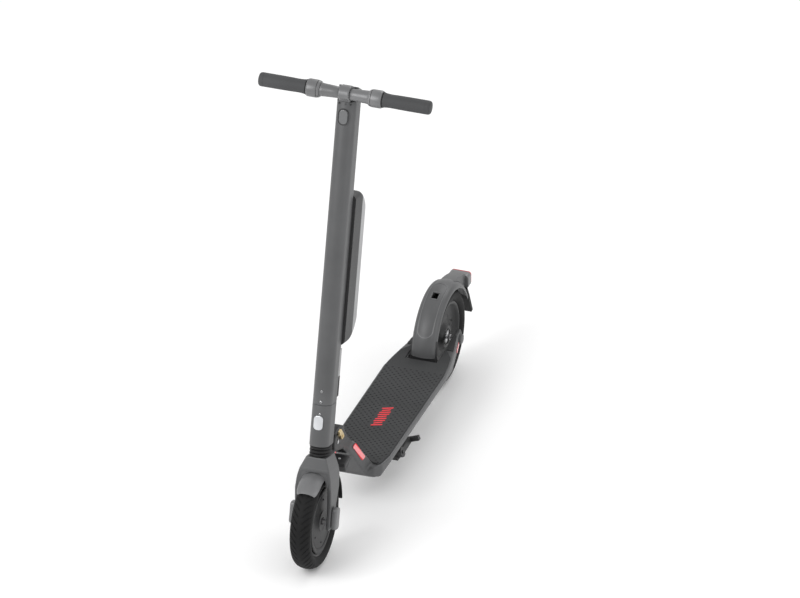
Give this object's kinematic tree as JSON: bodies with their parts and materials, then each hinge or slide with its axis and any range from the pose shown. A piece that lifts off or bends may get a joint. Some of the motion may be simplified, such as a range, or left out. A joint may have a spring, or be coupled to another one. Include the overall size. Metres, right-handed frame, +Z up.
{
  "type": "electric kick scooter",
  "caption": "Folding two-wheeled electric kick scooter with a tall steering stem, hub motor, stem battery, rubber-topped deck and foot-brake fender.",
  "frame": {"origin": "on the ground under the middle of the scooter's box", "axes": "+Z up, +Y towards the rear, +X towards the rider's left"},
  "size_m": [0.415, 1.1656, 1.1396],
  "materials": {
    "body_paint": "satin",
    "light_paint": "satin",
    "dark_casting": "satin",
    "black_plastic": "matte",
    "wheel_metal": "satin",
    "battery_shell": "satin",
    "steel": "satin",
    "badge_metal": "satin",
    "copper": "satin",
    "brass": "satin",
    "tyre_rubber": "matte",
    "soft_rubber": "matte",
    "mat_rubber": "matte",
    "grip_rubber": "matte",
    "reflector_pink": "gloss",
    "red_lens": "gloss",
    "red_button": "gloss",
    "clear_lens": "gloss"
  },
  "bodies": {
    "deck": {"deck_shell": "body_paint", "deck_underside_cover": "black_plastic", "deck_mat": "mat_rubber", "nose_reflector_left": "reflector_pink", "nose_reflector_right": "reflector_pink", "arm_reflector_left": "reflector_pink", "arm_reflector_right": "reflector_pink", "neck_bracket": "dark_casting", "fold_hinge_pin": "steel", "kickstand_bracket": "dark_casting", "rear_axle": "steel"},
    "head": {"head_tube": "body_paint", "badge": "badge_metal", "lower_headset_bearing": "steel", "upper_headset_bearing": "steel"},
    "steering": {"steerer_tube": "steel", "stem_tube": "body_paint", "controller": "black_plastic", "internal_battery": "black_plastic", "headlight_bezel": "black_plastic", "headlight_lens": "clear_lens", "battery_hull": "black_plastic", "battery_rear_shell": "battery_shell", "bar_clamp": "light_paint", "display_lens": "clear_lens", "handlebar": "light_paint", "collar_left": "light_paint", "collar_right": "light_paint", "grip_left": "grip_rubber", "grip_right": "grip_rubber", "suspension_boot": "soft_rubber", "suspension_spring": "steel"},
    "fork": {"fork": "body_paint", "fork_slider": "steel", "fork_cover_left": "light_paint", "fork_cover_right": "light_paint", "front_fender": "light_paint", "front_mud_flap": "soft_rubber", "front_axle": "steel", "motor_stator": "copper"},
    "front_wheel": {"front_tyre": "tyre_rubber", "hub_motor_shell": "wheel_metal", "hub_cover_left": "wheel_metal", "hub_cover_right": "wheel_metal"},
    "rear_wheel": {"rear_tyre": "tyre_rubber", "rear_rim": "wheel_metal", "rear_bearing_left": "steel", "rear_bearing_right": "steel"},
    "fender": {"rear_fender": "body_paint", "tail_light_housing": "light_paint", "tail_light_lens": "red_lens", "rear_mud_flap": "soft_rubber", "brake_pad": "soft_rubber"},
    "kickstand": {"kickstand_leg": "dark_casting"},
    "pedal": {"fold_pedal": "dark_casting"},
    "latch": {"latch_hook": "brass"},
    "throttle": {"throttle_lever": "black_plastic"},
    "brake": {"brake_lever": "black_plastic"},
    "button": {"power_button": "red_button"},
    "port_cap": {"charge_port_cap": "soft_rubber"}
  },
  "joints": [
    {"name": "fold", "type": "hinge", "parent": "deck", "child": "head", "pos_m": [0, -0.3567, 0.262], "axis": [-1, 0, 0], "range_deg": [0, 77]},
    {"name": "steer", "type": "hinge", "parent": "head", "child": "steering", "pos_m": [0, -0.41386, 0.30676], "axis": [0, 0.2402, 0.9707], "range_deg": [-60, 60]},
    {"name": "suspension", "type": "slide", "parent": "steering", "child": "fork", "axis": [0, 0.2402, 0.9707], "range_m": [0, 0.015], "stiffness_N_per_m": 12000, "springref_m": -0.02, "deforming": ["suspension_boot", "suspension_spring"]},
    {"name": "front_wheel_spin", "type": "hinge", "parent": "fork", "child": "front_wheel", "pos_m": [0, -0.4687, 0.1143], "axis": [1, 0, 0], "continuous": true},
    {"name": "rear_wheel_spin", "type": "hinge", "parent": "deck", "child": "rear_wheel", "pos_m": [0, 0.4213, 0.1143], "axis": [1, 0, 0], "continuous": true},
    {"name": "fender_brake", "type": "hinge", "parent": "deck", "child": "fender", "pos_m": [0, 0.3033, 0.128], "axis": [-1, 0, 0], "range_deg": [0, 3.4], "stiffness_Nm_per_rad": 40, "springref_deg": -5.73},
    {"name": "kickstand_swing", "type": "hinge", "parent": "deck", "child": "kickstand", "pos_m": [0.05, -0.0237, 0.057], "axis": [-0.9397, 0, -0.342], "range_deg": [0, 90]},
    {"name": "pedal_press", "type": "hinge", "parent": "deck", "child": "pedal", "pos_m": [0, -0.2927, 0.184], "axis": [1, 0, 0], "range_deg": [0, 15], "stiffness_Nm_per_rad": 2, "springref_deg": -11.46},
    {"name": "latch_turn", "type": "hinge", "parent": "deck", "child": "latch", "pos_m": [0.022, -0.3377, 0.268], "axis": [-1, 0, 0], "range_deg": [0, 15]},
    {"name": "throttle_press", "type": "hinge", "parent": "steering", "child": "throttle", "pos_m": [-0.076, -0.23287, 1.10053], "axis": [-1, 0, 0], "range_deg": [0, 25], "stiffness_Nm_per_rad": 0.2, "springref_deg": -17.19},
    {"name": "brake_press", "type": "hinge", "parent": "steering", "child": "brake", "pos_m": [0.076, -0.23287, 1.10053], "axis": [-1, 0, 0], "range_deg": [0, 25], "stiffness_Nm_per_rad": 0.2, "springref_deg": -17.19},
    {"name": "button_press", "type": "slide", "parent": "steering", "child": "button", "axis": [0, -0.6099, -0.7925], "range_m": [0, 0.001], "stiffness_N_per_m": 400, "springref_m": -0.001},
    {"name": "port_cap_open", "type": "hinge", "parent": "steering", "child": "port_cap", "pos_m": [0, -0.33386, 0.42604], "axis": [1, 0, 0], "range_deg": [0, 100]}
  ],
  "couplings": [
    {"joint": "latch_turn", "follows": "pedal_press", "ratio": 1}
  ]
}
